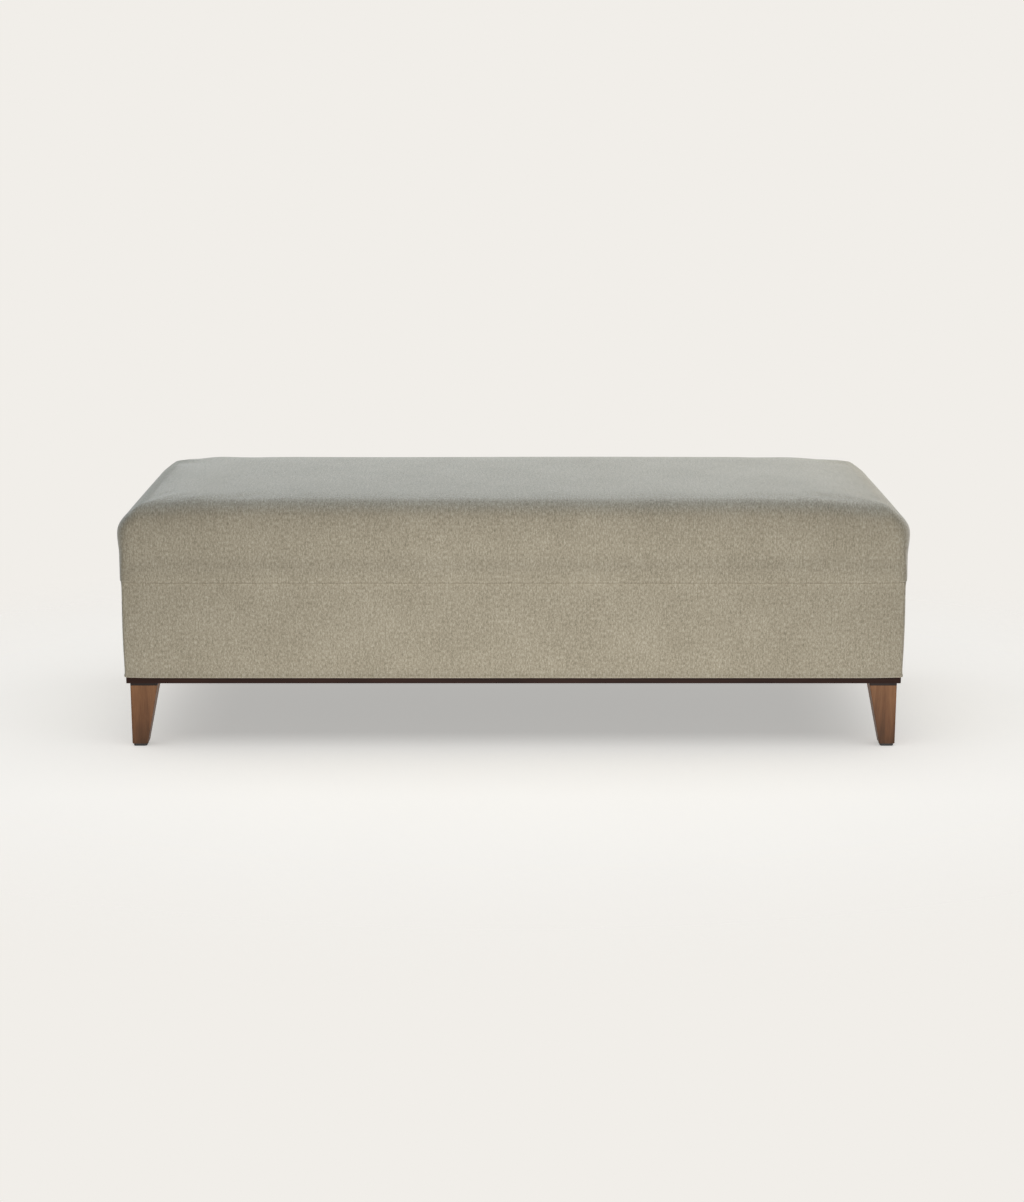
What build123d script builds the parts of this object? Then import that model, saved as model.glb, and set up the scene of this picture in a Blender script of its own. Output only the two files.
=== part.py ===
from build123d import *
import os

# Upholstered storage bench: a padded lid hinged on a fabric-covered box that stands on four legs.
# Millimetres, +Z up, front towards -Y. The origin is on the floor under the middle of the bench.

# Lid, which sets the overall length and depth
length = 1500.0
depth = 570.0
lid_corner = 34.0           # plan radius of the lid's corners
lid_top_round = 30.0
lid_bottom_round = 8.0
deck_thickness = 15.0
wadding = 8.0
lining_margin = 32.0        # width of cover folded under the lid

# Heights, from the floor up
glide_height = 5.0
leg_height = 116.0
plate_height = 6.0
plinth_height = 11.0
box_height = 186.5
gap = 2.5                   # between box and lid
lid_height = 155.0

# Box
box_setback = 4.0           # box cover behind the lid cover, all round
box_corner = 8.5
box_top_round = 5.0
fabric = 1.2
pad = 5.0
panel = 16.0
lining = 1.0
block_height = 20.0
block_side = 90.0
stretcher_width = 60.0
floor_thickness = 12.0
dust_cloth = 0.8

# Plinth and legs
plinth_setback = 9.0
plinth_width = 40.0
leg_setback = 15.0
leg_top = 52.0
leg_foot = 30.0
leg_edge = 2.5
foot_round = 5.0
glide_side = 26.0
bolt_radius = 4.0
bolt_into_leg = 55.0

# Hinges
hinge_places = (-520.0, 0.0, 520.0)
axis_setback = 2.6          # hinge axis in front of the lid's rear face
leaf_length = 70.0
leaf_thickness = 1.1
leaf_edge = 22.4            # hinge axis to the front edge of a leaf
knuckle_radius = 2.2
pin_radius = 1.2
pin_clearance = 0.1
knuckles = 5
knuckle_gap = 0.3
screw_pitch = 50.0
screw_setback = 15.4        # screws in front of the hinge axis
base_screw, lid_screw = 18.0, 13.0

# Screws
head_radius = 3.0
shank_radius = 1.5
fit = 0.05

# Gas struts, placed from the hinge axis: forward of it, and below it
strut_side = 708.0
box_pivot_forward, box_pivot_drop = 80.0, 140.0
lid_pivot_forward, lid_pivot_drop = 40.0, 15.0
eye_radius = 6.0
eye_width = 9.0
stud_radius = 3.0
tube_radius = 9.0
tube_end = 112.0
bore_start = 30.0
rod_radius = 4.0
rod_start = 46.0
bracket_thickness = 1.5
side_gap = 0.5              # between an eye and the part beside it
wall_plate_side = 26.0      # the wall bracket is square here and runs on upwards
wall_plate_above = 27.0     # pivot to its top edge
wall_screws_above = (12.0, 21.0)
lid_stud = 6.5
lid_foot = (26.0, 26.0)     # length and width of the flange screwed under the lid
lid_tab = 18.0              # width of the tab that carries the stud
lid_screw_setback = 9.0
lid_screw_pitch = 14.0
bracket_screw = 12.0

# Bumpers
bumper_places = (-650.0, -220.0, 220.0, 650.0)
bumper_radius = 5.0
bumper_clearance = 0.3

# Levels and half sizes worked out from the above
leg_z = glide_height + leg_height
plate_z = leg_z + plate_height
plinth_z = plate_z + plinth_height
box_z = plinth_z + box_height
lid_z = box_z + gap
lid_top_z = lid_z + lid_height
floor_z = plinth_z + block_height + floor_thickness
axis_y = depth / 2 - axis_setback
axis_z = box_z + gap / 2
pad_setback = box_setback + fabric
panel_setback = pad_setback + pad
inner_setback = panel_setback + panel
bin_setback = inner_setback + lining
overshoot = 10.0            # how far cutting shapes run past what they cut

SIDES = ("front", "rear", "left", "right")
ENDS = {"left": -1, "right": 1}
CORNERS = {"front_left": (-1, -1), "front_right": (1, -1), "rear_left": (-1, 1), "rear_right": (1, 1)}

nodes = {}


def block(x, y, z):
    """A box between the (low, high) pairs x, y and z."""
    spans = (x, y, z)
    size = [max(span) - min(span) for span in spans]
    centre = [(max(span) + min(span)) / 2 for span in spans]
    return Pos(*centre) * Box(*size)


def rod(start, direction, radius, reach):
    """A cylinder that begins at a point and runs along a direction."""
    return Solid.make_cylinder(radius, reach, Plane(start, z_dir=direction))


def slab(setback, z, corner=0.0):
    """A plate in plan like the lid, set back all round, between the two levels in z."""
    size = (length - 2 * setback, depth - 2 * setback)
    plan = RectangleRounded(*size, corner) if corner else Rectangle(*size)
    return Pos(0, 0, z[0]) * extrude(plan, z[1] - z[0])


def rounded(shape, which, radius):
    """Round the edges of the top face (which = -1) or the bottom face (which = 0)."""
    face = shape.faces().sort_by(Axis.Z)[which]
    return fillet(face.edges(), radius)


def sector(side):
    """The share of the plan that belongs to one side, cut at 45 degrees through the corners."""
    x, y = length / 2 + overshoot, depth / 2 + overshoot
    ridge = x - y
    outlines = {
        "front": [(-x, -y), (x, -y), (ridge, 0), (-ridge, 0)],
        "rear": [(x, y), (-x, y), (-ridge, 0), (ridge, 0)],
        "left": [(-x, y), (-x, -y), (-ridge, 0)],
        "right": [(x, -y), (x, y), (ridge, 0)],
    }
    return extrude(make_face(Polyline(*outlines[side], close=True)), lid_top_z)


def add_ring(name, ring):
    """Add a ring that runs round the bench as four mitred pieces."""
    for side in SIDES:
        nodes[f"{name}_{side}"] = ring & sector(side)


def add_legs():
    """Tapered legs whose outer faces are upright, each with a glide, a top plate and a bolt."""
    bolts = []
    corner_blocks = []
    for corner, (x_sign, y_sign) in CORNERS.items():
        outer_x = x_sign * (length / 2 - leg_setback)
        outer_y = y_sign * (depth / 2 - leg_setback)

        def at(side, z):
            centre = (outer_x - x_sign * side / 2, outer_y - y_sign * side / 2)
            return Pos(*centre, z) * RectangleRounded(side, side, leg_edge)

        bolt_x = outer_x - x_sign * leg_top / 2
        bolt_y = outer_y - y_sign * leg_top / 2
        bolt_start = (bolt_x, bolt_y, leg_z - bolt_into_leg)
        bolt_reach = bolt_into_leg + plate_height + plinth_height + block_height
        hole = rod(bolt_start, (0, 0, 1), bolt_radius + fit, bolt_reach + overshoot)
        bolts.append(rod(bolt_start, (0, 0, 1), bolt_radius, bolt_reach))

        leg = loft([at(leg_foot, glide_height), at(leg_top, leg_z)])
        nodes[f"leg_{corner}"] = rounded(leg, 0, leg_edge / 2) - hole
        plate = extrude(at(leg_top, leg_z), plate_height)
        nodes[f"leg_plate_{corner}"] = plate - hole
        foot_x = outer_x - x_sign * leg_foot / 2
        foot_y = outer_y - y_sign * leg_foot / 2
        foot = Pos(foot_x, foot_y) * RectangleRounded(glide_side, glide_side, foot_round)
        glide = extrude(foot, glide_height)
        nodes[f"glide_{corner}"] = rounded(glide, 0, leg_edge / 2)

        for side in corner.split("_"):
            nodes[f"plinth_rail_{side}"] -= hole
        inner_x = x_sign * (length / 2 - inner_setback)
        inner_y = y_sign * (depth / 2 - inner_setback)
        corner_block = block(
            (inner_x - x_sign * block_side, inner_x),
            (inner_y - y_sign * block_side, inner_y),
            (plinth_z, plinth_z + block_height),
        )
        corner_blocks += (corner_block - hole).solids()
    nodes["corner_blocks"] = Compound(corner_blocks)
    nodes["leg_bolts"] = Compound(bolts)


def add_box():
    """Plinth, panels, padding, fabric cover and bin lining."""
    plinth_levels = (plate_z, plinth_z)
    plinth_inner = slab(plinth_setback + plinth_width, plinth_levels)
    add_ring("plinth_rail", slab(plinth_setback, plinth_levels) - plinth_inner)

    top = box_z - fabric
    half_x, half_y = length / 2 - panel_setback, depth / 2 - panel_setback
    for side, sign in (("front", -1), ("rear", 1)):
        y = (sign * half_y, sign * (half_y - panel))
        nodes[f"box_panel_{side}"] = block((-half_x, half_x), y, (plinth_z, top))
    for side, sign in ENDS.items():
        x = (sign * half_x, sign * (half_x - panel))
        nodes[f"box_panel_{side}"] = block(x, (panel - half_y, half_y - panel), (plinth_z, top))

    padded = rounded(slab(pad_setback, (plinth_z, top), box_corner - fabric), -1, box_top_round - fabric)
    add_ring("box_pad", padded - slab(panel_setback, (plinth_z, top)))
    covered = rounded(slab(box_setback, (plinth_z, box_z), box_corner), -1, box_top_round)
    mouth = slab(inner_setback, (plinth_z, box_z))
    add_ring("box_cover", covered - padded - mouth)

    floor_base = plinth_z + block_height
    stretcher_y = depth / 2 - inner_setback
    stretcher_x = stretcher_width / 2
    nodes["floor_stretcher"] = block(
        (-stretcher_x, stretcher_x), (-stretcher_y, stretcher_y), (plinth_z, floor_base)
    )
    nodes["bin_floor"] = slab(inner_setback, (floor_base, floor_z))
    nodes["bin_lining_floor"] = slab(inner_setback, (floor_z, floor_z + lining))
    wall_z = (floor_z + lining, box_z)
    add_ring("bin_lining", slab(inner_setback, wall_z) - slab(bin_setback, wall_z))
    nodes["dust_cloth"] = slab(plinth_setback + plinth_width, (plinth_z - dust_cloth, plinth_z))


def add_lid():
    """Deck, foam, wadding, cover and underside cloth, each one inside the next."""
    core = fabric + wadding
    deck_z = lid_z + fabric
    inner_top = lid_top_z - fabric
    outer = rounded(slab(0, (lid_z, lid_top_z), lid_corner), -1, lid_top_round)
    outer = rounded(outer, 0, lid_bottom_round)
    inner = slab(fabric, (deck_z, inner_top), lid_corner - fabric)
    inner = rounded(inner, -1, lid_top_round - fabric)
    inner = rounded(inner, 0, lid_bottom_round - fabric)
    foam_z = deck_z + deck_thickness
    foam = slab(core, (foam_z, lid_top_z - core), lid_corner - core)
    foam = rounded(foam, -1, lid_top_round - core)
    deck = slab(core, (deck_z, foam_z), lid_corner - core)
    window = slab(lining_margin, (lid_z, deck_z))
    nodes["lid_cover"] = outer - inner - window
    nodes["lid_wadding"] = inner - foam - deck
    nodes["lid_foam"] = foam
    nodes["lid_deck"] = deck
    nodes["lid_underside_cloth"] = window


def screw(head_top, direction, head_thickness, shank_length, grow=0.0):
    """A flat-headed screw, or with grow the hole that it leaves."""
    neck = Vector(*head_top) + Vector(*direction) * head_thickness
    head = rod(head_top, direction, head_radius + grow, head_thickness)
    return head + rod(neck, direction, shank_radius + grow, shank_length)


def add_screws(name, places, direction, head_thickness, shank_length, through):
    """Add a group of screws and make their holes in the nodes that they go through."""
    nodes[name] = Compound([screw(place, direction, head_thickness, shank_length) for place in places])
    for place in places:
        hole = screw(place, direction, head_thickness, shank_length, fit)
        for node in through:
            nodes[node] -= hole


def knuckle_spans(middle):
    """The X span of each knuckle of one hinge, from left to right."""
    pitch = leaf_length / knuckles
    start = middle - leaf_length / 2 + knuckle_gap / 2
    width = pitch - knuckle_gap
    return [(start + i * pitch, start + i * pitch + width) for i in range(knuckles)]


def hinge_leaf(middle, leaf_z, which, screws):
    """One leaf with its share of the knuckles: which = 0 for the base, 1 for the lid."""
    half = leaf_length / 2
    clear_y = axis_y - knuckle_radius - knuckle_gap
    level = (leaf_z, leaf_z + leaf_thickness)
    leaf = block((middle - half, middle + half), (axis_y - leaf_edge, clear_y), level)
    for low, high in knuckle_spans(middle)[which::2]:
        leaf += block((low, high), (clear_y, axis_y), level)
        leaf += rod((low, axis_y, axis_z), (1, 0, 0), knuckle_radius, high - low)
    bore_begin = (middle - half - overshoot, axis_y, axis_z)
    bore_reach = leaf_length + 2 * overshoot
    leaf -= rod(bore_begin, (1, 0, 0), pin_radius + pin_clearance, bore_reach)
    for x, y, _ in screws:
        leaf -= rod((x, y, leaf_z), (0, 0, 1), head_radius + fit, leaf_thickness)
    return leaf.solid()


def add_hinges():
    """Three butt hinges along the rear edge, screwed to the box's rear panel and the lid's deck."""
    lid_leaf_z = lid_z - leaf_thickness
    screw_y = axis_y - screw_setback
    base_places = []
    lid_places = []
    base_leaves = []
    lid_leaves = []
    pins = []
    for middle in hinge_places:
        screw_xs = (middle - screw_pitch / 2, middle + screw_pitch / 2)
        base_screws = [(x, screw_y, box_z + leaf_thickness) for x in screw_xs]
        lid_screws = [(x, screw_y, lid_leaf_z) for x in screw_xs]
        base_leaves.append(hinge_leaf(middle, box_z, 0, base_screws))
        lid_leaves.append(hinge_leaf(middle, lid_leaf_z, 1, lid_screws))
        pin_start = (middle - leaf_length / 2, axis_y, axis_z)
        pins.append(rod(pin_start, (1, 0, 0), pin_radius, leaf_length))
        base_places += base_screws
        lid_places += lid_screws
    nodes["hinge_base_leaves"] = Compound(base_leaves)
    nodes["hinge_lid_leaves"] = Compound(lid_leaves)
    nodes["hinge_pins"] = Compound(pins)
    into_box = ["box_cover_rear", "box_panel_rear"]
    add_screws("hinge_screws_base", base_places, (0, 0, -1), leaf_thickness, base_screw, into_box)
    into_lid = ["lid_cover", "lid_deck"]
    add_screws("hinge_screws_lid", lid_places, (0, 0, 1), leaf_thickness, lid_screw, into_lid)


def strut_eye(z):
    """The ring at one end of a strut, and the hole through it, in the strut's own frame."""
    ring = rod((-eye_width / 2, 0, z), (1, 0, 0), eye_radius, eye_width)
    hole = rod((-eye_width, 0, z), (1, 0, 0), stud_radius + fit, 2 * eye_width)
    return ring, hole


def add_strut(end, frame, reach):
    """The cylinder and the rod of one gas strut, shut."""
    ring, hole = strut_eye(0)
    tube = rod((0, 0, eye_radius), (0, 0, 1), tube_radius, tube_end - eye_radius)
    neck = rod((0, 0, stud_radius), (0, 0, 1), rod_radius, eye_radius)
    bore = rod((0, 0, bore_start), (0, 0, 1), rod_radius + side_gap / 2, tube_end)
    nodes[f"strut_cylinder_{end}"] = frame * (tube + neck + ring - hole - bore)
    ring, hole = strut_eye(reach)
    shaft_reach = reach - eye_radius / 2 - rod_start
    shaft = rod((0, 0, rod_start), (0, 0, 1), rod_radius, shaft_reach)
    nodes[f"strut_rod_{end}"] = frame * (shaft + ring - hole)


def add_wall_bracket(end, sign, pivot):
    """The bracket on the end wall of the bin, with its stud and its screws."""
    _, y, z = pivot
    wall_x = length / 2 - bin_setback
    face_x = wall_x - bracket_thickness
    half = wall_plate_side / 2
    plate = block((sign * wall_x, sign * face_x), (y - half, y + half), (z - half, z + wall_plate_above))
    start = (sign * face_x, y, z)
    inward = (-sign, 0, 0)
    collar_reach = face_x - strut_side - eye_width / 2 - side_gap / 2
    collar = rod(start, inward, stud_radius * 1.5, collar_reach)
    stud = rod(start, inward, stud_radius, collar_reach + eye_width + side_gap)
    nodes[f"strut_box_bracket_{end}"] = plate + collar + stud
    through = [f"strut_box_bracket_{end}", f"bin_lining_{end}", f"box_panel_{end}"]
    places = [(sign * face_x, y, z + above) for above in wall_screws_above]
    add_screws("wall_screws", places, (sign, 0, 0), bracket_thickness, bracket_screw, through)
    return nodes.pop("wall_screws").solids()


def add_lid_bracket(end, sign, pivot):
    """The bracket screwed under the lid; its stud stops just beside the rod's eye."""
    _, y, z = pivot
    tab_x = sign * (strut_side - eye_width / 2 - side_gap - lid_stud)
    back_x = tab_x - sign * bracket_thickness
    foot_x = back_x - sign * lid_foot[0]
    foot_low = lid_z - bracket_thickness
    foot_y = (y - lid_foot[1] / 2, y + lid_foot[1] / 2)
    foot = block((tab_x, foot_x), foot_y, (foot_low, lid_z))
    tab_half = lid_tab / 2
    tab = block((tab_x, back_x), (y - tab_half, y + tab_half), (z - tab_half, lid_z))
    stud = rod((tab_x, y, z), (sign, 0, 0), stud_radius, lid_stud)
    nodes[f"strut_lid_bracket_{end}"] = foot + tab + stud
    screw_x = foot_x + sign * lid_screw_setback
    screw_half = lid_screw_pitch / 2
    return [(screw_x, y - screw_half, foot_low), (screw_x, y + screw_half, foot_low)]


def add_struts():
    """A gas strut at each end of the bin, with its bracket on the wall and its bracket on the lid."""
    wall_screws = []
    lid_places = []
    for end, sign in ENDS.items():
        x = sign * strut_side
        box_pivot = Vector(x, axis_y - box_pivot_forward, axis_z - box_pivot_drop)
        lid_pivot = Vector(x, axis_y - lid_pivot_forward, axis_z - lid_pivot_drop)
        rise = lid_pivot - box_pivot
        add_strut(end, Plane(box_pivot, x_dir=(1, 0, 0), z_dir=rise), rise.length)
        wall_screws += add_wall_bracket(end, sign, box_pivot)
        lid_places += add_lid_bracket(end, sign, lid_pivot)
    nodes["strut_screws_box"] = Compound(wall_screws)
    through = ["strut_lid_bracket_left", "strut_lid_bracket_right", "lid_underside_cloth", "lid_deck"]
    add_screws("strut_screws_lid", lid_places, (0, 0, 1), bracket_thickness, bracket_screw, through)


def add_bumpers():
    """Soft buttons on the front top edge of the box, just under the closed lid."""
    y = panel_setback + panel / 2 - depth / 2
    reach = gap - bumper_clearance
    bumpers = [rod((x, y, box_z), (0, 0, 1), bumper_radius, reach) for x in bumper_places]
    nodes["lid_bumpers"] = Compound(bumpers)


add_box()
add_legs()
add_lid()
add_hinges()
add_struts()
add_bumpers()

os.makedirs("parts", exist_ok=True)
for name, shape in nodes.items():
    export_step(shape, f"parts/{name}.step")
print(len(nodes), "nodes")
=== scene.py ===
import math

import bpy
import numpy as np
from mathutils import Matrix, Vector, noise


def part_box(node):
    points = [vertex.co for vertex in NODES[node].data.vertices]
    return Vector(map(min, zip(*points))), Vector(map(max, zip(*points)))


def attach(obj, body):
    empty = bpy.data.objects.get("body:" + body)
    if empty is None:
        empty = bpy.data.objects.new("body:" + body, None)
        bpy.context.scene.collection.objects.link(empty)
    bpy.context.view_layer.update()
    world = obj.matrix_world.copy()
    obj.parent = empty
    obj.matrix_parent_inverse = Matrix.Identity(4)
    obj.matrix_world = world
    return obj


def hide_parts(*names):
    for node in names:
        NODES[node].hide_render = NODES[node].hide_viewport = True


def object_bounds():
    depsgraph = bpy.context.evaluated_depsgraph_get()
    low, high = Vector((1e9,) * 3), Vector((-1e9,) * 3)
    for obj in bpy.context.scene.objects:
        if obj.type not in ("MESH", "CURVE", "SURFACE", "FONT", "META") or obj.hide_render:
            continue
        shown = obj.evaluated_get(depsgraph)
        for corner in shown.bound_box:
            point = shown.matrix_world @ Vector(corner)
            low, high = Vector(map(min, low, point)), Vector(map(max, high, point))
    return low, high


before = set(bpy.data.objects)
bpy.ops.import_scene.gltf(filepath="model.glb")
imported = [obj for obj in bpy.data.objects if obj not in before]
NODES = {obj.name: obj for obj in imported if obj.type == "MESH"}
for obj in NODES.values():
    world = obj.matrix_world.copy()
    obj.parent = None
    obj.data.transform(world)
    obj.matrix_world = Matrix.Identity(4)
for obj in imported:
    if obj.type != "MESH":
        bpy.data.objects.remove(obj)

# Storage ottoman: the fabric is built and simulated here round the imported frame. Metres, front towards -Y.

CAD_BOUNDS = [list(corner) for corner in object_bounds()]
LID_LOW, LID_HIGH = (Vector(corner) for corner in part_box("lid_cover"))
PANEL_LOW = Vector(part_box("box_panel_front")[0])
COVER_LOW, COVER_HIGH = (Vector(corner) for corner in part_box("box_cover_front"))
COVER_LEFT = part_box("box_cover_left")[0][0]
FLOOR_Z = CAD_BOUNDS[0][2]
MM = 0.001
TINY = 1e-6


def srgb(red, green, blue):
    """Linear colour, with alpha, from the usual 0 to 255 values."""
    values = [channel / 255 for channel in (red, green, blue)]
    return [v / 12.92 if v <= 0.04045 else ((v + 0.055) / 1.055) ** 2.4 for v in values] + [1.0]


def smooth(x):
    """0 below 0, 1 above 1, and a smooth step between."""
    x = min(max(x, 0.0), 1.0)
    return x * x * (3 - 2 * x)


# ---------------------------------------------------------------- materials


class Shader:
    """A node material built in order: each call adds a node and returns it."""

    def __init__(self, name):
        self.material = bpy.data.materials.new(name)
        self.material.use_nodes = True
        self.tree = self.material.node_tree
        self.surface = self.tree.nodes["Principled BSDF"]
        self.output = self.tree.nodes["Material Output"]

    def add(self, kind, **settings):
        node = self.tree.nodes.new(kind)
        for key, value in settings.items():
            setattr(node, key, value)
        return node

    def link(self, source, target):
        self.tree.links.new(source, target)

    def set(self, **values):
        for key, value in values.items():
            self.surface.inputs[key.replace("_", " ")].default_value = value

    def place(self, scale, uv=False):
        """Coordinates in metres times a scale, from the object or from its cloth UVs."""
        source = self.add("ShaderNodeTexCoord").outputs["UV" if uv else "Object"]
        mapping = self.add("ShaderNodeMapping")
        mapping.inputs["Scale"].default_value = scale
        self.link(source, mapping.inputs["Vector"])
        return mapping.outputs["Vector"]

    def noise(self, place, detail=2.0, rough=0.5, distortion=0.0):
        node = self.add("ShaderNodeTexNoise")
        self.link(place, node.inputs["Vector"])
        node.inputs["Scale"].default_value = 1.0
        node.inputs["Detail"].default_value = detail
        node.inputs["Roughness"].default_value = rough
        node.inputs["Distortion"].default_value = distortion
        return node.outputs["Fac"]

    def wave(self, place, direction, distortion=0.0):
        node = self.add("ShaderNodeTexWave", wave_type="BANDS", bands_direction=direction)
        self.link(place, node.inputs["Vector"])
        node.inputs["Scale"].default_value = 1.0
        node.inputs["Distortion"].default_value = distortion
        return node.outputs["Fac"]

    def math(self, operation, first, second):
        node = self.add("ShaderNodeMath", operation=operation)
        for socket, value in zip(node.inputs, (first, second)):
            if isinstance(value, (int, float)):
                socket.default_value = value
            else:
                self.link(value, socket)
        return node.outputs[0]

    def ramp(self, factor, *stops):
        node = self.add("ShaderNodeValToRGB")
        elements = node.color_ramp.elements
        while len(elements) < len(stops):
            elements.new(0.5)
        for element, (position, colour) in zip(elements, stops):
            element.position = position
            element.color = colour
        self.link(factor, node.inputs["Fac"])
        return node.outputs["Color"]

    def bump(self, height, distance, strength=1.0, before=None):
        node = self.add("ShaderNodeBump")
        node.inputs["Distance"].default_value = distance
        node.inputs["Strength"].default_value = strength
        self.link(height, node.inputs["Height"])
        if before is not None:
            self.link(before, node.inputs["Normal"])
        self.link(node.outputs["Normal"], self.surface.inputs["Normal"])
        return node.outputs["Normal"]

    def colour(self, source):
        self.link(source, self.surface.inputs["Base Color"])

    def roughness(self, factor, low, high):
        node = self.add("ShaderNodeMapRange")
        node.inputs["To Min"].default_value = low
        node.inputs["To Max"].default_value = high
        self.link(factor, node.inputs["Value"])
        self.link(node.outputs["Result"], self.surface.inputs["Roughness"])


FABRIC_DARK = (124, 117, 100)
FABRIC_MID = (159, 151, 133)
FABRIC_LIGHT = (188, 181, 164)
# Share of the tone, noise cells in a metre, detail, roughness and distortion of each layer.
FABRIC_LAYERS = (
    (0.46, (380, 170, 1), 1.5, 0.55, 0.3),      # short upright slubs
    (0.12, (210, 26, 1), 1.0, 0.5, 0.0),        # long slubs
    (0.32, (720, 620, 1), 1.0, 0.6, 0.0),       # grain
    (0.10, (9, 7, 1), 2.0, 0.5, 0.0),           # faint patches
)
THREAD_PITCH = 2.6 * MM


def upholstery_fabric():
    """Plain weave in beige-grey yarn with short upright slubs and a pale sheen at grazing angles."""
    shader = Shader("upholstery_fabric")
    tone = None
    for share, cells, detail, rough, distortion in FABRIC_LAYERS:
        layer = shader.noise(shader.place(cells, uv=True), detail, rough, distortion)
        part = shader.math("MULTIPLY", layer, share)
        tone = shader.math("ADD", tone, part) if tone else part
    shader.colour(shader.ramp(
        tone,
        (0.34, srgb(*FABRIC_DARK)),
        (0.50, srgb(*FABRIC_MID)),
        (0.66, srgb(*FABRIC_LIGHT)),
    ))
    threads = shader.place((1 / THREAD_PITCH, 1 / THREAD_PITCH, 1), uv=True)
    weave = shader.math("MULTIPLY", shader.wave(threads, "X", 0.6), shader.wave(threads, "Y", 0.6))
    before = shader.bump(weave, 0.25 * MM, 0.5)
    shader.bump(tone, 1.0 * MM, 0.35, before)
    shader.set(Roughness=0.92, Sheen_Weight=0.42, Sheen_Roughness=0.38, Specular_IOR_Level=0.18)
    shader.set(Sheen_Tint=srgb(236, 240, 246))
    return shader.material


FOOT_DARKENING_TOP = 125 * MM                    # height above which the legs' tone is kept; below it the colour is made darker towards the floor
FOOT_DARKENING = 0.36                       # how far the legs' tone is made darker from the top to the floor
DARKEST_TONE_SHARE = 0.72                    # the ramp's darkest colour as a share of the dark colour, which the legs reach near the floor


def wood(name, dark, light, along, roughness=0.42, fine=1.0, gloss=0.2, foot=None):
    """Wood with its grain along one axis (0, 1 or 2), its colour made darker towards the floor below the
    height foot.
    """
    shader = Shader(name)
    scale = [70.0 * fine] * 3
    scale[along] = 5.0
    figure = shader.noise(shader.place(scale), 4.0, 0.6, 0.7)
    pores_scale = [900.0] * 3
    pores_scale[along] = 45.0
    pores = shader.noise(shader.place(pores_scale), 1.0, 0.5)
    tone = shader.math("ADD", shader.math("MULTIPLY", figure, 0.75), shader.math("MULTIPLY", pores, 0.25))
    ramp_tone = tone
    # Below the height foot the colour is made darker towards the floor.
    if foot:
        height = shader.add("ShaderNodeSeparateXYZ")
        shader.link(shader.place((1, 1, 1 / foot)), height.inputs[0])
        fall = shader.math("SUBTRACT", 1.0, shader.math("MINIMUM", height.outputs["Z"], 1.0))
        ramp_tone = shader.math("SUBTRACT", tone, shader.math("MULTIPLY", fall, FOOT_DARKENING))
    darkest_colour = [channel * DARKEST_TONE_SHARE for channel in dark]
    shader.colour(shader.ramp(ramp_tone, (0.1, srgb(*darkest_colour)), (0.32, srgb(*dark)), (0.68, srgb(*light))))
    shader.set(Specular_IOR_Level=gloss)
    shader.roughness(pores, roughness - 0.08, roughness + 0.1)
    shader.bump(tone, 0.25 * MM, 0.35)
    return shader.material


def plywood(name):
    """Pale birch plywood face with a broad cathedral figure along X."""
    shader = Shader(name)
    rings = shader.noise(shader.place((2.2, 22, 60)), 3.0, 0.55, 1.2)
    pores = shader.noise(shader.place((60, 900, 900)), 1.0, 0.5)
    tone = shader.math("ADD", shader.math("MULTIPLY", rings, 0.8), shader.math("MULTIPLY", pores, 0.2))
    shader.colour(shader.ramp(tone, (0.35, srgb(176, 140, 98)), (0.65, srgb(214, 184, 142))))
    shader.set(Roughness=0.62)
    shader.bump(tone, 0.2 * MM, 0.3)
    return shader.material


def cloth_felt(name, dark, light, pitch=1.1 * MM):
    """Non-woven or plain lining cloth with a fine pressed grain of the given pitch."""
    shader = Shader(name)
    press = shader.noise(shader.place((1 / pitch, 1 / pitch, 1 / pitch)), 0.0, 0.5)
    fibres = shader.noise(shader.place((420, 420, 420)), 2.0, 0.7)
    tone = shader.math("ADD", shader.math("MULTIPLY", press, 0.25), shader.math("MULTIPLY", fibres, 0.75))
    shader.colour(shader.ramp(tone, (0.3, srgb(*dark)), (0.7, srgb(*light))))
    shader.set(Roughness=0.95, Sheen_Weight=0.15, Sheen_Roughness=0.5)
    shader.bump(tone, 0.3 * MM, 0.5)
    return shader.material


def metal(name, colour, roughness, along=None, metallic=1.0):
    """Steel with fine drawing marks along one axis, or blotchy plating without one."""
    shader = Shader(name)
    scale = [1400.0] * 3 if along is not None else [160.0] * 3
    if along is not None:
        scale[along] = 30.0
    marks = shader.noise(shader.place(scale), 2.0, 0.6)
    darker = [channel * 0.8 for channel in colour]
    shader.colour(shader.ramp(marks, (0.3, srgb(*darker)), (0.7, srgb(*colour))))
    shader.roughness(marks, roughness, roughness + 0.15)
    shader.set(Metallic=metallic)
    shader.bump(marks, 0.05 * MM, 0.3)
    return shader.material


def moulded(name, colour, roughness):
    """Moulded plastic or rubber with a fine spark-eroded surface."""
    shader = Shader(name)
    pits = shader.noise(shader.place((1500, 1500, 1500)), 1.0, 0.5)
    lighter = [min(channel * 1.25 + 4, 255) for channel in colour]
    shader.colour(shader.ramp(pits, (0.3, srgb(*colour)), (0.7, srgb(*lighter))))
    shader.roughness(pits, roughness - 0.08, roughness + 0.08)
    shader.bump(pits, 0.06 * MM, 0.4)
    return shader.material


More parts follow.
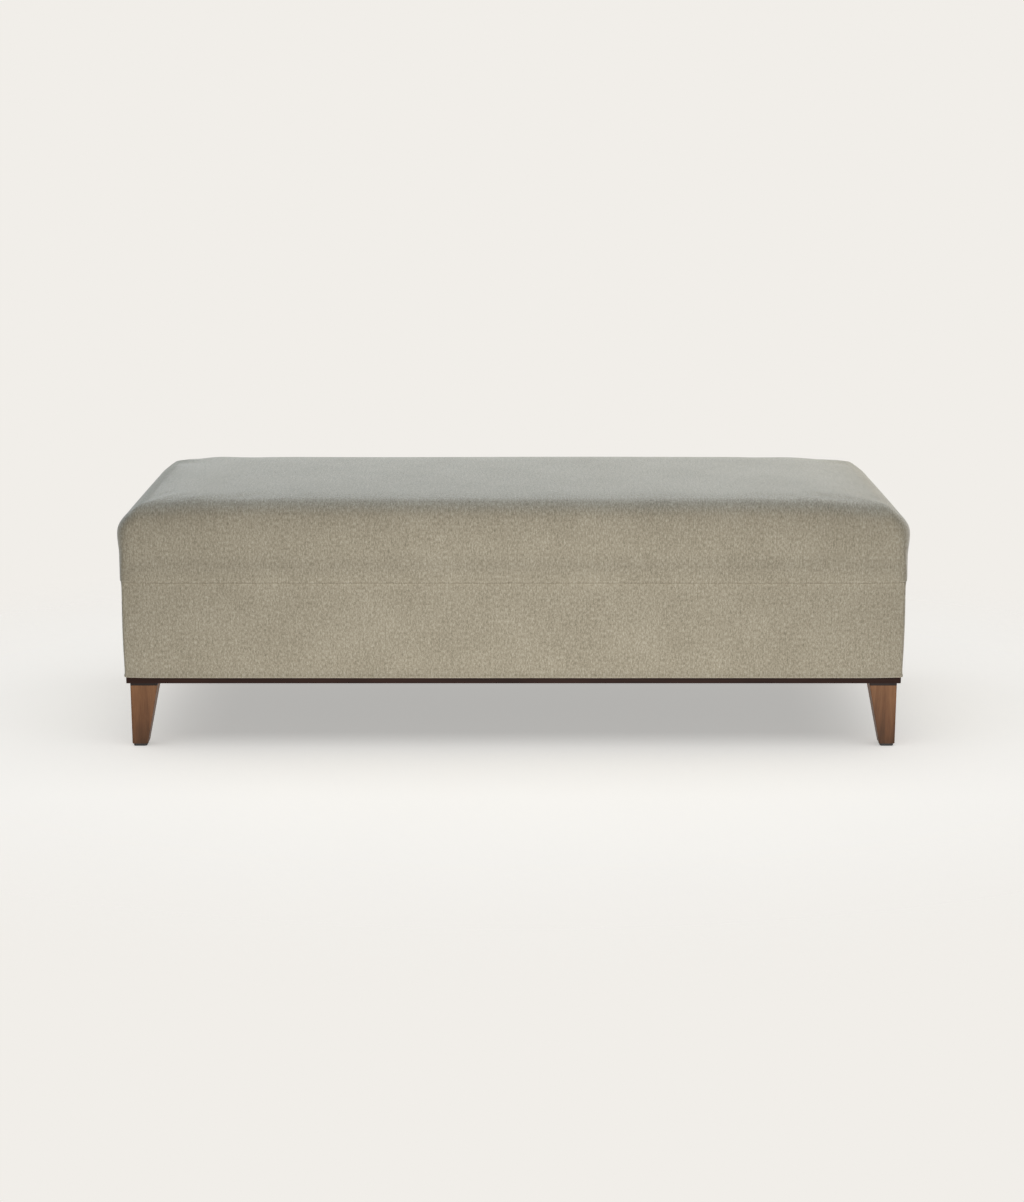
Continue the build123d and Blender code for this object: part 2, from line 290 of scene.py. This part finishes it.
def paint_nodes():
    """Give every CAD node that isn't replaced its finished material, chosen by the start of its name."""
    walnut = wood("walnut_stain", (104, 70, 46), (138, 98, 66), 2, foot=FOOT_DARKENING_TOP)
    espresso_tones = ((31, 18, 14), (52, 33, 26))
    pine_tones = ((184, 146, 98), (222, 190, 142))
    espresso = wood("espresso_long", *espresso_tones, 0, 0.5, 1.0, 0.08)
    birch = plywood("birch_ply")
    finishes = {
        "leg_front": walnut,
        "leg_rear": walnut,
        "leg_plate": wood("plate_stain", (20, 14, 12), (40, 28, 23), 0),
        "plinth_rail_front": espresso,
        "plinth_rail_rear": espresso,
        "plinth_rail": wood("espresso_short", *espresso_tones, 1, 0.5, 1.0, 0.08),
        "glide": moulded("glide_nylon", (22, 21, 21), 0.5),
        "box_panel": birch,
        "bin_floor": birch,
        "lid_deck": birch,
        "corner_blocks": wood("pine", *pine_tones, 0, 0.6, 0.7),
        "floor_stretcher": wood("pine_cross", *pine_tones, 1, 0.6, 0.7),
        "leg_bolts": metal("bolt_zinc", (196, 194, 184), 0.3, 2),
        "hinge": metal("hinge_zinc", (190, 188, 180), 0.3, 0),
        "strut_screws": metal("screw_zinc", (186, 180, 150), 0.32),
        "strut_cylinder": moulded("strut_enamel", (24, 24, 26), 0.32),
        "strut_rod": metal("strut_chrome", (212, 213, 216), 0.1, 2),
        "strut": metal("bracket_steel", (170, 170, 168), 0.35, 1),
        "lid_bumpers": moulded("bumper_rubber", (34, 33, 33), 0.7),
    }
    for name, node in NODES.items():
        prefixes = [prefix for prefix in finishes if name.startswith(prefix)]
        if prefixes:
            node.data.materials.clear()
            node.data.materials.append(finishes[max(prefixes, key=len)])


# ---------------------------------------------------------------- mesh helpers


def new_object(name, points, faces, material):
    mesh = bpy.data.meshes.new(name)
    mesh.from_pydata([tuple(point) for point in points], [], faces)
    mesh.validate()
    mesh.update()
    piece = bpy.data.objects.new(name, mesh)
    bpy.context.scene.collection.objects.link(piece)
    mesh.polygons.foreach_set("use_smooth", [True] * len(mesh.polygons))
    mesh.materials.append(material)
    return piece


def box_grid(low, high, step, first_level):
    """Points and faces of a closed box of grids with shared edge points and a lowest row first_level high."""
    counts = [max(2, round((high[i] - low[i]) / step)) for i in range(3)]
    index = {}
    points = []
    faces = []

    def at(key):
        if key not in index:
            index[key] = len(points)
            place = Vector([low[i] + (high[i] - low[i]) * key[i] / counts[i] for i in range(3)])
            if key[2] == 1:
                place.z = low.z + first_level
            points.append(place)
        return index[key]

    for axis in range(3):
        first, second = (axis + 1) % 3, (axis + 2) % 3
        for end in (0, counts[axis]):
            for i in range(counts[first]):
                for j in range(counts[second]):
                    corners = []
                    for di, dj in ((0, 0), (1, 0), (1, 1), (0, 1)):
                        key = [0, 0, 0]
                        key[axis], key[first], key[second] = end, i + di, j + dj
                        corners.append(at(tuple(key)))
                    faces.append(corners if end else corners[::-1])
    return points, faces


END_UV_SHIFT = 3.0                      # metres along the cloth between the fronts' weave and the ends'


def cloth_uvs(piece, low, high):
    """UVs in metres: across the cloth, and up each side and over the top, for the weave to follow."""
    mesh = piece.data
    layer = mesh.uv_layers.new(name="cloth")
    for face in mesh.polygons:
        n = face.normal
        size = [abs(n.x), abs(n.y), abs(n.z)]
        for loop in face.loop_indices:
            p = mesh.vertices[mesh.loops[loop].vertex_index].co
            if size[2] >= max(size[0], size[1]):
                uv = (p.x, high.z + p.y - low.y)
            elif size[0] > size[1]:
                uv = (p.y + END_UV_SHIFT, p.z)
            else:
                uv = (p.x, p.z)
            layer.data[loop].uv = uv


def puff(piece, pinned, pressure, cap, frames=20):
    """Fill a piece with air as cloth, hold its pinned points, and move each point less than cap."""
    start = np.empty(len(piece.data.vertices) * 3)
    piece.data.vertices.foreach_get("co", start)
    group = piece.vertex_groups.new(name="held")
    for vertex in piece.data.vertices:
        group.add([vertex.index], pinned(vertex.co), "REPLACE")
    scene = bpy.context.scene
    cloth = piece.modifiers.new("cloth", "CLOTH")
    settings = cloth.settings
    settings.quality = 6
    settings.mass = 0.3
    settings.use_pressure = True
    settings.uniform_pressure_force = pressure
    settings.tension_stiffness = 18
    settings.compression_stiffness = 18
    settings.shear_stiffness = 6
    settings.bending_stiffness = 1.2
    settings.effector_weights.gravity = 0.0
    settings.vertex_group_mass = group.name
    cloth.collision_settings.use_collision = False
    cloth.point_cache.frame_start = 1
    cloth.point_cache.frame_end = frames
    for number in range(1, frames + 1):
        scene.frame_set(number)
    solved = piece.evaluated_get(bpy.context.evaluated_depsgraph_get()).data
    end = np.empty_like(start)
    solved.vertices.foreach_get("co", end)
    moved = (end - start).reshape(-1, 3)
    length = np.linalg.norm(moved, axis=1, keepdims=True)
    moved *= cap * np.tanh(length / cap) / np.maximum(length, TINY * MM)
    piece.modifiers.remove(cloth)
    piece.vertex_groups.clear()
    piece.data.vertices.foreach_set("co", start + moved.ravel())
    piece.data.update()
    scene.frame_set(1)


def subdivide(piece, levels=1):
    modifier = piece.modifiers.new("smooth", "SUBSURF")
    modifier.levels = levels
    modifier.render_levels = levels


# ---------------------------------------------------------------- the lid cushion

LID_STEP = 12 * MM                      # size of the cushion's cells
EDGE_CELL = 1.5 * MM                    # size of the cells beside the lower edge, which keep it crisp
EDGE_RING = 1.3 * LID_STEP              # the cells this close to the edge are made that small
PUFF_ROOM = 2 * MM                      # the lid starts this much smaller than its CAD solid
LID_PLAN_ROUND = (18 * MM, 37 * MM)     # corner radius in plan, at the foot and at the top
PLAN_ROUND_RISE = 110 * MM              # height over which the one turns into the other
LID_TOP_ROUND = (54 * MM, 31 * MM)      # at the ends, and at the front and rear
LID_FOOT_ROUND = (1.2 * MM, 5 * MM)     # round the front and ends, and along the hinges
LID_CROWN = (10 * MM, 75 * MM)          # how far the sides lean in at the top, and over what height
LID_BULGE = 9 * MM                      # how far the ends swell
LID_BULGE_POWER = 1.4                   # above 1 lifts the widest place over mid height
LID_END_DROOP = ((9 * MM, 150 * MM), (11 * MM, 190 * MM))   # left and right: how much, and over how far
LID_WANDER = (1.2 * MM, 2.3)            # uneven top: how much, and noise cells in a metre
LIP = 1.8 * MM                          # how far the lid's outer edge hangs below its underside
LIP_WIDTH = 11 * MM
LIP_END = (30 * MM, 15 * MM)            # the lip fades out this far before the rear edge, over this length
RECESS = 3 * MM                         # the underside's hollow above its cloth
CLOTH_LAP = 3 * MM                      # how far the cover laps over the edge of the underside cloth
RECESS_RAMP = 6 * MM
LID_HELD = (10 * MM, 45 * MM)           # held below the first height and free above the second
LID_PRESSURE = 2.2
LID_PUFF = 4 * MM


def between(pair, share):
    """The value at a share of the way from the pair's first to its second."""
    return pair[0] + (pair[1] - pair[0]) * share


def quarter_round(radius, inset, rise):
    """Inset and drop on a quarter round, for a sharp edge's point, inset on its flat or rise on its side."""
    along = inset if rise < TINY else -rise
    turn = math.radians(45 + 45 * along / radius)
    return radius * (1 - math.cos(turn)), radius * (1 - math.sin(turn))


def on_edge(radius, inset, rise):
    """True for a point of a sharp edge that its round replaces."""
    return (rise < TINY and inset < radius) or (inset < TINY and rise < radius)


def lid_shape(point, low, high):
    """Move a point of a sharp box to its place on the soft cushion."""
    centre = (low + high) / 2
    half = (high - low) / 2
    x, y = point.x - centre.x, point.y - centre.y
    plan_round = between(LID_PLAN_ROUND, smooth((point.z - low.z) / PLAN_ROUND_RISE))
    core_x, core_y = half.x - plan_round, half.y - plan_round
    anchor = Vector((max(-core_x, min(core_x, x)), max(-core_y, min(core_y, y))))
    out = Vector((x, y)) - anchor
    reach = max(abs(out.x), abs(out.y))
    inset = plan_round - reach if reach > 0 else min(half.x - abs(x), half.y - abs(y))
    endwise = out.x ** 2 / max(out.length_squared, TINY ** 2) if reach > 0 else 0.0
    rearward = smooth(out.y / max(out.length, TINY * MM)) if reach > 0 else 0.0
    top_round = between(LID_TOP_ROUND[::-1], endwise)
    foot_round = between(LID_FOOT_ROUND, rearward)
    z = point.z
    above, below = high.z - z, z - low.z
    if below < TINY < inset < EDGE_RING:
        inset = EDGE_CELL
    new_inset = inset
    if on_edge(top_round, inset, above):
        new_inset, drop = quarter_round(top_round, inset, above)
        z = high.z - drop
    elif on_edge(foot_round, inset, below):
        new_inset, drop = quarter_round(foot_round, inset, below)
        z = low.z + drop
    lean_in, lean_height = LID_CROWN
    lean = smooth((z - (high.z - lean_height)) / (2 * lean_height)) * 2
    fade = 1 - smooth((inset - top_round) / plan_round)
    new_inset += lean_in * lean * fade * (1 - endwise)
    if inset < TINY:
        level = min(max((z - low.z) / (high.z - low.z), 0), 1)
        swell = math.sin(math.pi * level ** LID_BULGE_POWER) ** 2
        new_inset -= LID_BULGE * swell * endwise
    plan = anchor + out / out.length * (plan_round - new_inset) if reach > 0 else Vector((x, y))
    return Vector((plan.x + centre.x, plan.y + centre.y, z))


def tidy_rings(point, low, high, margin):
    """Shift the underside's rings of points so that two of them follow the edge of the underside cloth."""
    rings = [count * LID_STEP for count in (2, 3, 4, 5)]
    places = [rings[0], margin + CLOTH_LAP, margin + CLOTH_LAP + RECESS_RAMP, rings[3]]
    for axis in (0, 1):
        middle, half = (low[axis] + high[axis]) / 2, (high[axis] - low[axis]) / 2
        offset = point[axis] - middle
        from_edge = half - abs(offset)
        if rings[0] < from_edge < rings[3]:
            point[axis] = middle + math.copysign(half - np.interp(from_edge, rings, places), offset)


def underside_rises(place, margin):
    """How far the lip and then the recess lift a point of the underside above the lip's lowest line."""
    inset = min(place.x - LID_LOW.x, LID_HIGH.x - place.x, place.y - LID_LOW.y, LID_HIGH.y - place.y)
    behind = smooth((place.y - LID_HIGH.y + LIP_END[0]) / LIP_END[1])
    lip = LIP * max(smooth((inset - LIP_WIDTH / 2) / (LIP_WIDTH / 2)), behind)
    return lip, RECESS * smooth((inset - margin - CLOTH_LAP) / RECESS_RAMP)


def lid_cushion(material):
    """One closed crowned cover over the lid's foam, recessed underneath for the underside cloth."""
    low = Vector((LID_LOW.x + PUFF_ROOM, LID_LOW.y + PUFF_ROOM, LID_LOW.z - LIP))
    high = Vector((LID_HIGH.x - PUFF_ROOM, LID_HIGH.y - PUFF_ROOM, LID_HIGH.z - PUFF_ROOM))
    points, faces = box_grid(low, high, LID_STEP, EDGE_CELL)
    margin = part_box("lid_underside_cloth")[0][0] - LID_LOW.x
    shaped = []
    for point in points:
        underside = point.z - low.z < TINY
        if underside:
            tidy_rings(point, low, high, margin)
        place = lid_shape(point, low, high)
        if underside:
            for lift in underside_rises(place, margin):
                place.z += lift
        rise = smooth((place.z - low.z) / (high.z - low.z))
        for (amount, reach), from_end in zip(LID_END_DROOP, (place.x - low.x, high.x - place.x)):
            place.z -= amount * rise * (1 - smooth(from_end / reach))
        amount, cells = LID_WANDER
        wander = noise.noise(Vector((place.x * cells, place.y * cells, 4.0)))
        place.z += amount * wander * rise
        shaped.append(place)
    piece = new_object("lid_cushion", shaped, faces, material)
    held_below, free_above = (LID_LOW.z + height for height in LID_HELD)

    def held(p):
        return 1.0 - smooth((p.z - held_below) / (free_above - held_below))

    puff(piece, held, LID_PRESSURE, LID_PUFF)
    cloth_uvs(piece, LID_LOW, LID_HIGH)
    subdivide(piece)
    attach(piece, "lid")
    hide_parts("lid_cover", "lid_wadding", "lid_foam")
    return piece


# ---------------------------------------------------------------- the box cover

BOX_STEP = 14 * MM                      # size of the cover's cells
BOX_CORNER = 7 * MM
BOX_CORNER_CELLS = 5
END_ROUND = (4.5 * MM, 70 * MM)         # how much the long faces fall back to the corners, over how far
BOX_BULGE = 3.0 * MM
BOX_BULGE_SHARE = 0.55                  # the part of the bulge that the foot and the rim stand back
BOX_BULGE_POWER = 0.9                   # below 1 puts the fullest place under mid height
BOX_ROWS = 14                           # rows of cells between the hem and the rim
BOX_RISE = 0.6 * MM                     # fabric above the CAD cover's top
RIM_ROUND = 2.2 * MM
RIM_SETBACK = 0.7 * MM
RIM_FOLD = 1.1 * MM                     # how far the fold inside the rim is below the CAD cover's top
HEM_HEIGHT = 5 * MM
HEM_FOLD = 2.5 * MM                     # from the hem's face to the middle of its underside
HEM_STEP = 0.6 * MM                     # how far the hem's edges stand back from its face
PANEL_LAP = 0.2 * MM                    # how far the fabric's hidden edges reach into the panels
BOX_SLACK = 0.5 * MM                    # uneven fabric between the hem and the rim
HEM_WANDER = 0.35 * MM
BOX_HELD = 40 * MM                      # the hold fades out over this height from the hem and from the rim
OUTER_SKIN = 4 * MM                     # only points this close to the outside are free to swell
BOX_PRESSURE = 1.2
BOX_PUFF = 2.0 * MM
BOX_FRAMES = 14


def box_profile():
    """(inset from the cover's outer plan, height) round the closed section of the padded cover."""
    top = COVER_HIGH.z + BOX_RISE
    bottom = COVER_LOW.z
    panel_in = PANEL_LOW.y - COVER_LOW.y
    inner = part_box("bin_lining_front")[0][1] - COVER_LOW.y
    fold = COVER_HIGH.z - RIM_FOLD
    rows = [
        (panel_in - PANEL_LAP, bottom + 0.5 * MM),
        (HEM_FOLD, bottom),
        (HEM_STEP, bottom + HEM_STEP),
        (0.0, bottom + HEM_HEIGHT / 2),
        (HEM_STEP, bottom + HEM_HEIGHT),
        (1.3 * MM, bottom + HEM_HEIGHT + 1.5 * MM),
    ]
    first = bottom + HEM_HEIGHT + 5 * MM
    last = top - RIM_ROUND - 2 * MM
    for i in range(BOX_ROWS + 1):
        share = i / BOX_ROWS
        bulge = math.sin(math.pi * share ** BOX_BULGE_POWER)
        rows.append((BOX_BULGE * (1 - bulge) * BOX_BULGE_SHARE, first + (last - first) * share))
    for i in range(1, 5):
        turn = math.radians(90 * i / 5)
        inset = RIM_SETBACK + RIM_ROUND * (1 - math.cos(turn))
        rows.append((inset, top - RIM_ROUND * (1 - math.sin(turn))))
    rim = inner - 1.0 * MM - RIM_ROUND - RIM_SETBACK
    rows += [(RIM_SETBACK + RIM_ROUND + rim * share, top) for share in (0.0, 0.35, 0.7, 1.0)]
    rows.append((inner, top - 0.8 * MM))
    rows.append((inner, fold))
    rows.append((panel_in + 1 * MM, fold))
    rows.append((panel_in - PANEL_LAP, COVER_HIGH.z - 2.0 * MM))
    return rows


def rounded_track(inset):
    """Points round the box's plan at an inset, evenly numbered, with its corners rounded."""
    full_x, full_y = -COVER_LEFT, -COVER_LOW.y
    half_x, half_y = full_x - inset, full_y - inset
    radius = max(BOX_CORNER - inset, 0.8 * MM)
    counts = (round(2 * full_x / BOX_STEP), round(2 * full_y / BOX_STEP))
    corners = [(1, -1, -90), (1, 1, 0), (-1, 1, 90), (-1, -1, 180)]
    track = []
    for number, (sx, sy, start) in enumerate(corners):
        cx, cy = sx * (half_x - radius), sy * (half_y - radius)
        for i in range(BOX_CORNER_CELLS + 1):
            turn = math.radians(start + 90 * i / BOX_CORNER_CELLS)
            track.append(Vector((cx + radius * math.cos(turn), cy + radius * math.sin(turn))))
        nx, ny, next_start = corners[(number + 1) % 4]
        turn = math.radians(next_start)
        target = Vector((nx * (half_x - radius), ny * (half_y - radius)))
        target += radius * Vector((math.cos(turn), math.sin(turn)))
        straight = counts[1] if number in (0, 2) else counts[0]
        begin = track[-1].copy()
        track += [begin.lerp(target, i / straight) for i in range(1, straight)]
    return track


def box_upholstery(material):
    """The padded cover of the box: one continuous band, folded over the rim and hemmed at the foot."""
    rows = box_profile()
    tracks = [rounded_track(inset) for inset, _ in rows]
    count = len(tracks[0])
    points = []
    for (inset, z), track in zip(rows, tracks):
        points += [Vector((place.x, place.y, z)) for place in track]
    faces = []
    for row in range(len(rows)):
        following = (row + 1) % len(rows)
        for i in range(count):
            j = (i + 1) % count
            faces.append((row * count + i, row * count + j, following * count + j, following * count + i))
    hem_top = COVER_LOW.z + HEM_HEIGHT + 6 * MM
    rim = COVER_HIGH.z - 6 * MM
    for point in points:
        outward = Vector((point.x, point.y, 0)).normalized()
        lift = noise.noise(Vector((point.x * 5, point.y * 5, point.z * 4)))
        from_corner = -COVER_LEFT - abs(point.x)
        fall = max(1 - from_corner / END_ROUND[1], 0) ** 2
        point.y -= math.copysign(END_ROUND[0] * fall, point.y)
        if hem_top < point.z < rim:
            point -= outward * BOX_SLACK * (1 + lift)
        elif point.z <= hem_top:
            point.z += HEM_WANDER * noise.noise(Vector((point.x * 9, point.y * 9, 2.0)))
    piece = new_object("box_upholstery", points, faces, material)

    def held(p):
        from_outside = min(-COVER_LEFT - abs(p.x), -COVER_LOW.y - abs(p.y))
        if from_outside >= OUTER_SKIN:
            return 1.0
        up = smooth((p.z - hem_top) / BOX_HELD)
        down = smooth((rim - p.z) / BOX_HELD)
        return 1.0 - up * down

    puff(piece, held, BOX_PRESSURE, BOX_PUFF, BOX_FRAMES)
    cloth_uvs(piece, Vector((COVER_LEFT, COVER_LOW.y, COVER_LOW.z)), COVER_HIGH)
    subdivide(piece)
    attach(piece, "base")
    sides = ("front", "rear", "left", "right")
    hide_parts(*[f"{kind}_{side}" for kind in ("box_cover", "box_pad") for side in sides])
    return piece


# ---------------------------------------------------------------- lining cloths


PLATE_CELL = 25 * MM
PUCKER = 0.35 * MM
PUCKER_REACH = 60 * MM                  # the puckers fade this far from the staples
PLATE_FILL = 0.6                        # share of the free thickness that the cloth takes up


def cloth_plate(name, node, body, material):
    """A stapled flat cloth with small puckers along its edges, in place of its CAD node."""
    low, high = (Vector(corner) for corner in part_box(node))
    nx, ny = round((high.x - low.x) / PLATE_CELL), round((high.y - low.y) / PLATE_CELL)
    middle = (low.z + high.z) / 2
    half = (high.z - low.z) / 2 - PUCKER - 0.05 * MM
    points = []
    faces = []
    for side in (-1, 1):
        for j in range(ny + 1):
            for i in range(nx + 1):
                x = low.x + (high.x - low.x) * i / nx
                y = low.y + (high.y - low.y) * j / ny
                from_edge = min(x - low.x, high.x - x, y - low.y, high.y - y)
                fade = 0.35 + 0.65 * math.exp(-from_edge / PUCKER_REACH)
                wave = noise.noise(Vector((x * 34, y * 34, 1.5)))
                points.append(Vector((x, y, middle + side * half * PLATE_FILL + PUCKER * fade * wave)))
    row = nx + 1
    layer = row * (ny + 1)
    for j in range(ny):
        for i in range(nx):
            a = j * row + i
            faces.append((a, a + row, a + row + 1, a + 1))
            faces.append((layer + a, layer + a + 1, layer + a + row + 1, layer + a + row))
    rim = list(range(nx)) + [nx + j * row for j in range(ny)]
    rim += [layer - 1 - i for i in range(nx)] + [(ny - j) * row for j in range(ny)]
    for a, b in zip(rim, rim[1:] + rim[:1]):
        faces.append((a, b, layer + b, layer + a))
    piece = new_object(name, points, faces, material)
    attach(piece, body)
    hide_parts(node)
    return piece


LINER_CELL = 24 * MM
LINER_ROWS = 8
LINER_THICK = 0.8 * MM
LINER_CLEAR = 0.1 * MM                  # between the lining and the boards
LINER_PUCKER = (0.5 * MM, 0.9 * MM)     # on the floor and on the walls


def bin_liner(material):
    """The cloth lining of the bin: floor and four walls, softly puckered, open at the top."""
    low, high = (Vector(corner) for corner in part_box("bin_lining_floor"))
    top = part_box("bin_lining_front")[1][2] - 0.4 * MM
    nx, ny = round((high.x - low.x) / LINER_CELL), round((high.y - low.y) / LINER_CELL)
    points = []
    faces = []

    def skin(gap, reverse):
        """One skin of the tray, gap inside the wall and above the floor."""
        x0, x1, y0, y1 = low.x + gap, high.x - gap, low.y + gap, high.y - gap
        z0 = low.z + gap
        outline = [(x0 + (x1 - x0) * i / nx, y0) for i in range(nx)]
        outline += [(x1, y0 + (y1 - y0) * j / ny) for j in range(ny)]
        outline += [(x1 - (x1 - x0) * i / nx, y1) for i in range(nx)]
        outline += [(x0, y1 - (y1 - y0) * j / ny) for j in range(ny)]
        base = len(points)
        for j in range(ny + 1):
            for i in range(nx + 1):
                x, y = x0 + (x1 - x0) * i / nx, y0 + (y1 - y0) * j / ny
                wave = noise.noise(Vector((x * 13, y * 13, 7.0)))
                points.append(Vector((x, y, z0 + LINER_PUCKER[0] * (1 + wave))))
        row = nx + 1
        flat = []
        for j in range(ny):
            for i in range(nx):
                a = base + j * row + i
                flat.append((a, a + 1, a + row + 1, a + row))
        ring = [base + i for i in range(nx)]
        ring += [base + nx + j * row for j in range(ny)]
        ring += [base + ny * row + nx - i for i in range(nx)]
        ring += [base + (ny - j) * row for j in range(ny)]
        previous = ring
        for level in range(1, LINER_ROWS + 1):
            start = len(points)
            z = z0 + (top - z0) * level / LINER_ROWS
            free = math.sin(math.pi * level / LINER_ROWS)
            for x, y in outline:
                wave = noise.noise(Vector((x * 16, y * 16, z * 7))) + 1
                inward = LINER_PUCKER[1] * wave * free
                if x in (x0, x1) and y not in (y0, y1):
                    x += inward if x == x0 else -inward
                elif y in (y0, y1) and x not in (x0, x1):
                    y += inward if y == y0 else -inward
                points.append(Vector((x, y, z)))
            current = list(range(start, len(points)))
            for a, b, c, d in zip(previous, previous[1:] + previous[:1], current[1:] + current[:1], current):
                flat.append((a, d, c, b))
            previous = current
        faces.extend([face[::-1] for face in flat] if reverse else flat)
        return previous

    outer = skin(LINER_CLEAR, True)
    inner = skin(LINER_CLEAR + LINER_THICK, False)
    for a, b, c, d in zip(outer, outer[1:] + outer[:1], inner[1:] + inner[:1], inner):
        faces.append((a, d, c, b))
    piece = new_object("bin_liner", points, faces, material)
    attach(piece, "base")
    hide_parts(*[f"bin_lining_{side}" for side in ("floor", "front", "rear", "left", "right")])
    return piece


# ---------------------------------------------------------------- stage, lights and camera

BACKDROP = srgb(241, 238, 233)
AMBIENT = 0.11                          # strength of the sky that fills the shadows
FLOOR_HALF = 6.0
FLOOR_TONE = (0.83, 0.815, 0.785, 1.0)
FLOOR_GLOW = 0.435                      # light that the floor gives off, which keeps its shadow pale
FADE_START = 0.75                       # where the floor starts to let the backdrop through
FADE_END = 1.5
CAMERA_PLACE = (-0.003, -4.479, 1.263)
CAMERA_PITCH = 13.05
LENS_MM = 68.1
FRAME_WIDTH_MM = 36.0


def area_light(name, place, target, size, power, colour=(1, 1, 1), without=None, only=None):
    """A rectangular light out of the camera's sight that leaves one object unlit, or lights only one."""
    light = bpy.data.lights.new(name, "AREA")
    light.shape = "RECTANGLE"
    light.size, light.size_y = size
    light.energy = power
    light.color = colour
    lamp = bpy.data.objects.new(name, light)
    bpy.context.scene.collection.objects.link(lamp)
    lamp.location = place
    lamp.rotation_euler = (Vector(target) - Vector(place)).to_track_quat("-Z", "Y").to_euler()
    lamp.visible_camera = False
    receivers = bpy.data.collections.new(f"{name}_receivers")
    receivers.objects.link(without or only)
    state = "EXCLUDE" if without else "INCLUDE"
    receivers.collection_objects[0].light_linking.link_state = state
    lamp.light_linking.receiver_collection = receivers


def stage():
    """A pale floor that fades into an even pale background, and a dim sky that fills the shadows."""
    world = bpy.data.worlds.new("studio")
    bpy.context.scene.world = world
    world.use_nodes = True
    nodes, links = world.node_tree.nodes, world.node_tree.links
    nodes.clear()
    path = nodes.new("ShaderNodeLightPath")
    seen = nodes.new("ShaderNodeBackground")
    seen.inputs["Color"].default_value = BACKDROP
    fill = nodes.new("ShaderNodeBackground")
    fill.inputs["Color"].default_value = (0.93, 0.96, 1.0, 1.0)
    fill.inputs["Strength"].default_value = AMBIENT
    mix = nodes.new("ShaderNodeMixShader")
    out = nodes.new("ShaderNodeOutputWorld")
    plain = nodes.new("ShaderNodeMath")
    plain.operation = "MAXIMUM"
    links.new(path.outputs["Is Camera Ray"], plain.inputs[0])
    links.new(path.outputs["Is Glossy Ray"], plain.inputs[1])
    links.new(plain.outputs[0], mix.inputs[0])
    links.new(fill.outputs[0], mix.inputs[1])
    links.new(seen.outputs[0], mix.inputs[2])
    links.new(mix.outputs[0], out.inputs[0])

    corners = [
        (-FLOOR_HALF, -FLOOR_HALF, FLOOR_Z),
        (FLOOR_HALF, -FLOOR_HALF, FLOOR_Z),
        (FLOOR_HALF, FLOOR_HALF, FLOOR_Z),
        (-FLOOR_HALF, FLOOR_HALF, FLOOR_Z),
    ]
    floor = new_object("studio_floor", corners, [(0, 1, 2, 3)], floor_material())
    return floor


def floor_material():
    """Matte pale floor that lets the backdrop through farther from the object."""
    shader = Shader("studio_floor")
    tone = shader.noise(shader.place((3, 3, 3)), 2.0, 0.5)
    tint = [channel * 0.985 for channel in FLOOR_TONE[:3]] + [1.0]
    shader.colour(shader.ramp(tone, (0.3, tint), (0.7, FLOOR_TONE)))
    shader.set(Roughness=0.95, Specular_IOR_Level=0.0)
    shader.set(Emission_Color=(1.0, 0.985, 0.95, 1.0), Emission_Strength=FLOOR_GLOW)
    distance = shader.add("ShaderNodeVectorMath", operation="LENGTH")
    shader.link(shader.place((0.75, 1.0, 0.0)), distance.inputs[0])
    fade = shader.add("ShaderNodeMapRange", interpolation_type="SMOOTHSTEP")
    fade.inputs["From Min"].default_value = FADE_START
    fade.inputs["From Max"].default_value = FADE_END
    shader.link(distance.outputs["Value"], fade.inputs["Value"])
    clear = shader.add("ShaderNodeBsdfTransparent")
    mix = shader.add("ShaderNodeMixShader")
    shader.link(fade.outputs["Result"], mix.inputs[0])
    shader.link(shader.surface.outputs[0], mix.inputs[1])
    shader.link(clear.outputs[0], mix.inputs[2])
    shader.link(mix.outputs[0], shader.output.inputs["Surface"])
    return shader.material


WARM = (1.0, 0.985, 0.965)
NEUTRAL = (1.0, 0.985, 0.96)
COOL = (0.86, 0.94, 1.0)
SKY = (0.74, 0.85, 1.0)
FRONT = (0, -0.28, 0.3)
FRONT_TOP = (0, -0.28, 0.5)
TOP = (0, 0, 0.47)
LEFT_END, RIGHT_END = (-0.7, 0, 0.45), (0.7, 0, 0.47)


def lights(floor):
    """A front light, a low bounce, a high light behind for the top, two rear strips, and a floor wash."""
    area_light("front_key", (0.3, -2.7, 0.2), FRONT, (1.6, 0.6), 29, WARM, without=floor)
    area_light("floor_bounce", (0, -1.5, 0.03), FRONT_TOP, (1.5, 0.8), 8.6, WARM, without=floor)
    area_light("top_rear", (0.25, 1.0, 3.4), TOP, (4.2, 1.4), 104, SKY, without=floor)
    area_light("left_strip", (-3.0, 1.6, 1.2), LEFT_END, (1.4, 0.7), 52, COOL, without=floor)
    area_light("right_strip", (3.2, 1.8, 1.7), RIGHT_END, (0.8, 0.5), 116, NEUTRAL, without=floor)
    area_light("floor_wash", (0, -0.5, 3.6), (0, -0.3, 0), (11.0, 5.0), 153, only=floor)


def camera():
    """The camera, in front of the object and looking slightly down on it."""
    data = bpy.data.cameras.new("camera")
    data.lens = LENS_MM
    data.sensor_width = FRAME_WIDTH_MM
    rig = bpy.data.objects.new("camera", data)
    rig.location = CAMERA_PLACE
    rig.rotation_euler = (math.radians(90 - CAMERA_PITCH), 0, 0)
    bpy.context.scene.collection.objects.link(rig)
    bpy.context.scene.camera = rig


# ---------------------------------------------------------------- build

bpy.context.scene.view_settings.view_transform = "Standard"
camera()
lights(stage())
paint_nodes()
fabric = upholstery_fabric()
lid_cushion(fabric)
box_upholstery(fabric)
lining = cloth_felt("bin_lining", (70, 68, 65), (100, 97, 92))
bin_liner(lining)
cloth_plate("lid_underside", "lid_underside_cloth", "lid", lining)
dust = cloth_felt("dust_cover", (22, 22, 22), (38, 38, 38))
cloth_plate("underside_dust_cover", "dust_cloth", "base", dust)
